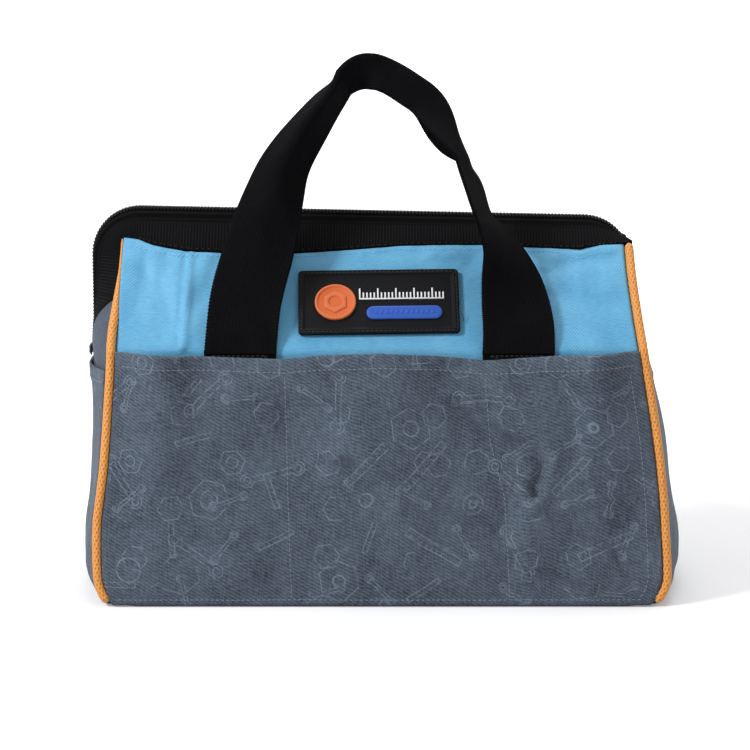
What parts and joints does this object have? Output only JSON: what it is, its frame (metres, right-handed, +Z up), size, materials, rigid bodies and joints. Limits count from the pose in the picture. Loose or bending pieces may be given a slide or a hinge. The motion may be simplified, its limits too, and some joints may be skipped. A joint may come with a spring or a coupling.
{
  "type": "tool bag",
  "caption": "Soft wide-mouth tool bag with a flat stiff base, leaning walls with open outer pockets, a zipped mouth in two halves, a rubber badge and webbing handles",
  "frame": {"origin": "on the ground under the middle of the base", "axes": "+X to the right along the long side as seen from the front, +Y from the badge side to the back, +Z up"},
  "size_m": [0.3352, 0.2696, 0.284],
  "materials": {
    "slate_fabric": "plain heavy woven polyester, slate grey, printed tone on tone",
    "sky_fabric": "plain woven polyester, sky blue",
    "black_ribbed": "black ribbed tape",
    "black_webbing": "black woven webbing, 38 mm",
    "orange_cord": "braided orange piping cord",
    "black_nylon": "moulded nylon zip teeth",
    "dark_metal": "black enamelled zinc",
    "black_rubber": "moulded soft rubber",
    "orange_rubber": "moulded soft rubber",
    "blue_rubber": "moulded soft rubber",
    "grey_board": "stiffening board"
  },
  "bodies": {
    "shell": {"base_panel": "slate_fabric", "base_board": "grey_board", "front_lower_panel": "slate_fabric", "front_pocket_panel": "slate_fabric", "front_left_piping": "orange_cord", "front_left_handle_anchor": "black_webbing", "front_right_piping": "orange_cord", "front_right_handle_anchor": "black_webbing", "back_lower_panel": "slate_fabric", "back_pocket_panel": "slate_fabric", "back_left_piping": "orange_cord", "back_left_handle_anchor": "black_webbing", "back_right_piping": "orange_cord", "back_right_handle_anchor": "black_webbing", "left_gusset": "slate_fabric", "left_side_pocket": "slate_fabric", "left_zip_end_tab": "black_ribbed", "right_gusset": "slate_fabric", "right_side_pocket": "slate_fabric", "right_zip_end_tab": "black_ribbed"},
    "front_mouth": {"front_upper_panel": "sky_fabric", "front_mouth_band": "black_ribbed", "front_zip_tape": "black_ribbed", "front_zip_coil": "black_nylon", "front_left_upper_gusset": "slate_fabric", "front_left_upper_piping": "orange_cord", "front_right_upper_gusset": "slate_fabric", "front_right_upper_piping": "orange_cord", "badge_plate": "black_rubber", "badge_disc": "orange_rubber", "badge_bar": "blue_rubber"},
    "back_mouth": {"back_upper_panel": "sky_fabric", "back_mouth_band": "black_ribbed", "back_zip_tape": "black_ribbed", "back_zip_coil": "black_nylon", "back_left_upper_gusset": "slate_fabric", "back_left_upper_piping": "orange_cord", "back_right_upper_gusset": "slate_fabric", "back_right_upper_piping": "orange_cord"},
    "front_handle": {"front_handle": "black_webbing"},
    "back_handle": {"back_handle": "black_webbing"},
    "slider": {"zip_slider": "dark_metal"},
    "pull_tab": {"zip_pull": "dark_metal"}
  },
  "joints": [
    {"name": "front_mouth_fold", "type": "hinge", "parent": "shell", "child": "front_mouth", "pos_m": [0, -0.06516, 0.1304], "axis": [1, 0, 0], "range_deg": [0, 40]},
    {"name": "back_mouth_fold", "type": "hinge", "parent": "shell", "child": "back_mouth", "pos_m": [0, 0.06516, 0.1304], "axis": [-1, 0, 0], "range_deg": [0, 40]},
    {"name": "front_handle_swing", "type": "hinge", "parent": "front_mouth", "child": "front_handle", "pos_m": [0, -0.06516, 0.1304], "axis": [1, 0, 0], "range_deg": [0, 120]},
    {"name": "back_handle_swing", "type": "hinge", "parent": "shell", "child": "back_handle", "pos_m": [0, 0.06516, 0.1304], "axis": [1, 0, 0], "range_deg": [0, 90]},
    {"name": "slider_travel", "type": "slide", "parent": "front_mouth", "child": "slider", "axis": [0.9998, 0, -0.0205], "range_m": [-0.065, 0.16]},
    {"name": "pull_swing", "type": "hinge", "parent": "slider", "child": "pull_tab", "pos_m": [-0.05988, 0, 0.20696], "axis": [-0.9998, 0, 0.0205], "range_deg": [0, 240]}
  ]
}
